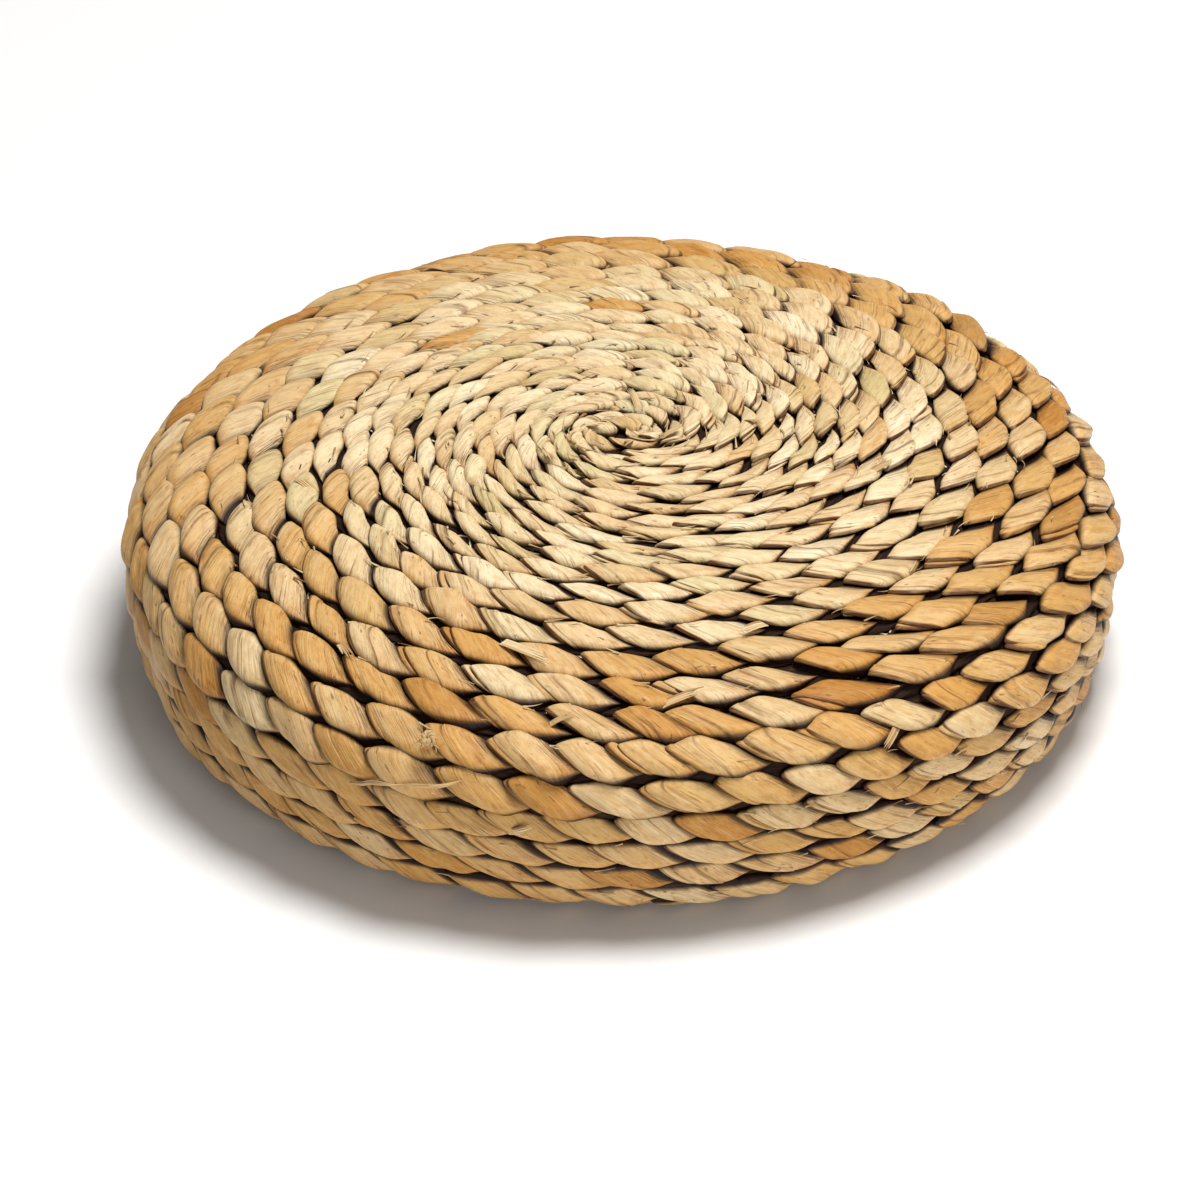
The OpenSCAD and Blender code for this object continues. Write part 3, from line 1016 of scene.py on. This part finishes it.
def lining(name, node, first, last):
    """A panel of cloth between two lengths of the meridian; the middle one is a band."""
    lengths = np.linspace(first, last, 34)
    face = shell_line(lengths, LINING_DEPTH)
    rear = shell_line(lengths, LINING_DEPTH + CLOTH)[::-1]
    band = node == "lining_side"
    chain = [face, rear]
    if band:
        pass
    elif node == "lining_base":
        face[-1, 0] = rear[0, 0] = 0.0
        chain = [rear, face]
    else:
        face[0, 0] = rear[-1, 0] = 0.0
    seed = 31 if band else 32
    chain = np.concatenate(chain)
    ob = revolved(name, node, chain, 168, LINING, band, 0.4 * MM, seed)


def flat_face(r, z, inward):
    """Points from the axis to the rounded edge of a foam's flat face."""
    return [(0, z), (r * 0.5, z), (r - 2.5 * MM, z), (r - FOAM_EDGE, z + inward)]


def foam_outline(low, high):
    """Half outline of the core's slice between two heights, from the axis round to the axis."""
    line = shell_line(np.linspace(0, SIDE_END, 260), LINING_DEPTH + CLOTH + CLOTH_GAP)
    keep = line[(line[:, 1] > low + FOAM_EDGE) & (line[:, 1] < high - FOAM_EDGE)]
    start = [(0, keep[0, 1])]
    if (line[:, 1] >= high - FOAM_EDGE).any():
        start = flat_face(keep[0, 0], high, -0.2 * MM)
    end = flat_face(keep[-1, 0], low, 0.2 * MM)[::-1]
    return np.concatenate([start, keep[:: max(1, len(keep) // 40)], end])


FOAM_NODES = ("foam_disc_lower", "foam_disc_middle", "foam_disc_upper", "crown_pad")
floors = [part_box(node)[0].z for node in FOAM_NODES]
floors[0] += 2.2 * MM
for i, node in enumerate(FOAM_NODES):
    crown = node == "crown_pad"
    top = HEIGHT if crown else floors[i + 1]
    slot, material = ("crown_foam", CROWN_FOAM) if crown else ("foam", FOAM)
    outline = foam_outline(floors[i], top - 0.3 * MM)
    pad = revolved("soft_" + node, node, outline, 150, material, False, 0.15 * MM, 40)

lining("cloth_top", "lining_top", 0.0, SEAM_TOP - CLOTH_GAP)
lining("cloth_side", "lining_side", SEAM_TOP + CLOTH_GAP, SEAM_BASE - CLOTH_GAP)
lining("cloth_base", "lining_base", SEAM_BASE + CLOTH_GAP, MER_S[-1])


# ---- knot, strand and loose bits
SKIN_OUT = 5.0 * MM
KNOT_ENDS = 9


def fibre_material(name, light, dark):
    """Split leaf: long fibres, darker where its tone is higher."""
    n = Nodes(name)
    lengthwise, crosswise, tone = n.told("fib_along", "fib_across", "tone")
    grain = n.noise(n.vector(n.times(lengthwise, 0.12), n.times(crosswise, 2.4), tone), 1.0, 4)
    share = n.plus(n.times(grain, 0.7), n.times(tone, 0.6), clamp=True)
    n.colour(n.ramp(share, (0.2, light), (0.55, "cfae78"), (0.95, dark)))
    n.bump(grain, 0.0002)
    return n.finish(0.62)


FRAY = fibre_material("frayed_leaf", "efe3c4", "855222")
GRASS = fibre_material("twisted_grass", "c99a5e", "74441c")


def smooth_path(points, count):
    """A smooth cubic curve through points."""
    points = np.asarray(points, float)
    n = len(points)
    t = np.linspace(0, n - 1, count)
    i = np.clip(t.astype(int), 0, n - 2)
    f = (t - i)[:, None]
    before, after = points[np.maximum(i - 1, 0)], points[np.minimum(i + 2, n - 1)]
    here, there = points[i], points[i + 1]
    return 0.5 * (
        2 * here + (there - before) * f + (2 * before - 5 * here + 4 * there - after) * f**2
        + (3 * here - before - 3 * there + after) * f**3
    )


def grass_knot():
    """A strip of leaf tied in a tight knot on the shoulder, with its ends frayed."""
    lo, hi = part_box("grass_knot")
    middle = np.array((lo + hi) / 2)
    out = unit(unit(middle * np.array([1, 1, 0])) * 0.55 + np.array([0, 0, 0.83]))
    across = unit(np.cross(out, [0, 0, 1.0]))
    frame_of = np.stack([across, np.cross(out, across), out])
    t = np.linspace(0, 2 * np.pi, 90)
    size = (hi.x - lo.x) / 2
    loops = []
    for spin, grow, squash in ((0.0, 1.0, 0.95), (1.1, 0.8, 1.25)):
        # A trefoil, turned by spin
        x, y = np.sin(t) + 2 * np.sin(2 * t), np.cos(t) - 2 * np.cos(2 * t)
        ring = np.stack([x, y, -squash * np.sin(3 * t)], axis=-1)
        c, s = math.cos(spin), math.sin(spin)
        ring[:, :2] = ring[:, :2] @ np.array([[c, s], [-s, c]])
        loops.append(middle + ring * size * 0.26 * grow @ frame_of)
    parts = [tube(loop, 0.34 * size, 10, 0.62, 900) for loop in loops]
    g = np.random.default_rng(61)
    for _ in range(KNOT_ENDS):
        way = g.uniform(0, 2 * np.pi)
        reach = g.uniform(2.5, 5.5) * MM
        bits = np.linspace(0, 1, 8)[:, None]
        go = np.array([math.cos(way), math.sin(way), 0]) @ frame_of
        sag = frame_of[2] * g.uniform(-2.2, 0.6) * MM
        line = middle + go * size * 0.5 + go * reach * bits + sag * bits**2
        line = line + np.cross(go, frame_of[2]) * g.normal(0, 0.8) * MM * np.sin(3 * bits)
        parts.append(tube(line, np.linspace(0.62, 0.15, 8) * MM, 6, 0.4))
    return parts


KNOT_BEARING = -22.5
# Degrees from the knot, turn count, and mm out of the braid's skin
STRAND_ROUTE = (
    (-9, 20.6, 0.6),
    (-7.5, 20.5, 1.9),
    (-6, 20.35, 2.1),
    (-4.5, 20.25, 2.3),
    (-3, 20.2, 2.4),
    (-1.5, 20.1, 2.8),
    (0, 20.05, 2.6),
    (1.5, 20.0, 2.2),
    (3, 19.9, 1.9),
    (4.5, 19.75, 0.6),
)


def loose_strand():
    """A split of leaf that lies along the wall, both ends caught under the braid."""
    route = np.array(STRAND_ROUTE)
    lengths = np.interp(route[:, 1], np.arange(TURNS + 1), EDGES)
    phi = np.radians(KNOT_BEARING + route[:, 0])
    points, _ = shell_at(phi, lengths, HALF_T + route[:, 2] * MM)
    line = smooth_path(points, 80)
    gone = np.linspace(0, 1, 80)
    width = (0.95 - 0.45 * np.abs(2 * gone - 1) ** 3 + 0.1 * np.sin(gone * 23)) * MM
    parts = [tube(line, width, 10, 0.5, 130)]
    side = line + np.array([0, 0, 1.0]) * (0.5 + 0.7 * np.sin(gone * 9)[:, None]) * MM
    parts.append(tube(side[6:58], 0.26 * MM, 6, 0.6, 200))
    return parts


joined("knot_of_grass", grass_knot(), GRASS, "grass_knot")
joined("strand_of_grass", loose_strand(), GRASS, "loose_strand")


def fray(g, x, edge_side):
    """One split fibre that stands off the side of a lozenge."""
    bits = np.linspace(0, 1, 7)
    u_half, w_half = float(along(x, HALF_U)), float(along(x, HALF_W))
    reach = g.uniform(3.0, 9.0) * MM
    lean = g.uniform(-0.5, 0.9)
    u = edge_side * u_half * g.uniform(0.5, 1.0) + edge_side * reach * 0.35 * lean * bits
    w = w_half * g.uniform(0.75, 1.0) + (0.6 + g.uniform(-0.2, 1.5) * bits**1.6) * MM
    xs = x + reach * bits * g.choice([-1, 1])
    line = place(xs, u + g.normal(0, 0.5) * MM * np.sin(3 * bits), w, 0.0)
    radius = g.uniform(0.22, 0.6) * MM * (1 - 0.8 * bits)
    return tube(line, radius, 4, 0.35, 0.0, along(xs, PATH_N))


def frays(name, first, last, count, seed):
    """Split fibres at random places of the braid, from turn count first to last."""
    g = np.random.default_rng(seed)
    x0, x1 = np.interp([first, last], TAU, PATH_X)
    parts = [fray(g, g.uniform(x0, x1), g.choice([-1, 1])) for _ in range(count)]
    joined(name, parts, FRAY, tones=g.beta(1.6, 2.2, count))


frays("frays_top", 1.0, TOP_LAST, 330, 81)
frays("frays_centre", 0.4, 5.0, 34, 84)
frays("frays_side", TOP_LAST, OUTER - 1.5, 300, 82)


def flap(seed, bearing, turn, reach, width, heading, lift):
    """A cut end of leaf, in strips side by side."""
    g = np.random.default_rng(seed)
    bits = np.linspace(0, 1, 16)
    start = np.interp(turn, np.arange(TURNS + 1), EDGES)
    radius = float(np.interp(start, MER_S, MER_R))
    ahead, down = math.cos(math.radians(heading)), math.sin(math.radians(heading))
    turned = bearing + np.degrees(reach * MM * bits * ahead / radius)
    out = SKIN_OUT - 3.6 * MM * (1 - bits) ** 2 + (lift - 1.6) * MM * bits**2
    line, normals = shell_at(np.radians(turned), start + reach * MM * bits * down, out)
    parts = []
    sideways = unit(np.cross(np.gradient(line, axis=0), normals))
    for i in range(4):
        offset = (i - 1.5) * width * 0.25 * MM
        stop = int(g.integers(11, 17))
        spread = 1 + 0.5 * bits[:, None] ** 2 * g.uniform(0, 1)
        strip = line + sideways * offset * spread + normals * 0.12 * MM * i
        size = width * 0.17 * MM * (1 - 0.85 * np.clip(bits * 16 / stop, 0, 1) ** 4)
        parts.append(tube(strip[:stop], size[:stop], 6, 0.22, 0.0, normals[:stop]))
    return parts


# Bearing in degrees, turn count, length and width in mm, heading from the turn in degrees and
# mm of lift
FLAPS = (
    (-19, 15.6, 24, 4.2, 25, 2.2),
    (5, 17.45, 18, 3.6, -12, 0.6),
    (-9, 18.1, 10, 2.6, -20, 1.6),
    (-13, 21.2, 12, 3.0, -30, 1.2),
    (24, 15.2, 14, 3.4, 160, 1.6),
    (33, 19.3, 13, 3.2, 150, 1.8),
    (-41, 17.3, 12, 3.4, 30, 1.8),
    (-52, 20.4, 13, 3.2, 20, 1.6),
    (74, 12.3, 13, 3.0, 40, 1.4),
    (-75, 14.4, 12, 3.2, 150, 1.5),
    (150, 13.2, 14, 3.2, 30, 1.4),
    (205, 17.6, 14, 3.4, 20, 1.6),
    (118, 19.4, 13, 3.2, 160, 1.6),
    (262, 21.4, 12, 3.0, 20, 1.4),
    (-4, 3.2, 11, 2.8, 35, 1.6),
    (160, 2.4, 10, 2.6, 60, 1.4),
    (72, 2.1, 9, 3.0, 60, 1.3),
    (252, 1.6, 9, 3.2, -40, 1.5),
    (-62, 4.1, 10, 3.0, 25, 1.3),
    (25, 1.0, 8, 3.2, 115, 1.6),
    (200, 5.2, 10, 2.8, 30, 1.2),
    (100, 6.3, 10, 2.8, 150, 1.2),
)
flap_parts = [part for seed, row in enumerate(FLAPS, 1) for part in flap(seed, *row)]
flap_tones = np.random.default_rng(83).beta(2, 3, len(flap_parts))
joined("leaf_ends", flap_parts, FRAY, tones=flap_tones)

# ---- stage and light
FLOOR_REACH = 30.0
FLOOR_GAP = 0.6 * MM
LIGHT_AIM = Vector((0, 0, 0.05))
PAPER = (0.86, 0.86, 0.858, 1)
DIM_GREY = (0.22, 0.22, 0.22, 1)
floor_me = bpy.data.meshes.new("floor")
corners = [(x * FLOOR_REACH, y * FLOOR_REACH, 0) for x, y in ((-1, -1), (1, -1), (1, 1), (-1, 1))]
floor_me.from_pydata(corners, [], [(0, 1, 2, 3)])
floor = new_object("floor", floor_me)
floor.location.z = CAD_LO.z - FLOOR_GAP
paper = Nodes("pale_floor")
paper.shader.inputs["Base Color"].default_value = PAPER
paper.shader.inputs["Roughness"].default_value = 0.9
floor_me.materials.append(paper.material)

world = bpy.data.worlds.new("studio")
bpy.context.scene.world = world
world.use_nodes = True
world.node_tree.nodes["Background"].inputs["Color"].default_value = DIM_GREY


def area_light(name, at, size, power, colour=(1, 1, 1)):
    data = bpy.data.lights.new(name, "AREA")
    data.shape = "DISK"
    data.size = size
    data.energy = power
    data.color = colour
    ob = new_object(name, data)
    ob.location = at
    ob.rotation_euler = (ob.location - LIGHT_AIM).to_track_quat("Z", "Y").to_euler()


area_light("key", (0.32, 0.12, 1.9), 0.8, 44, (1.0, 0.985, 0.965))
area_light("front", (0.85, -1.9, 0.35), 1.0, 20)
bpy.context.scene.view_settings.view_transform = "Standard"
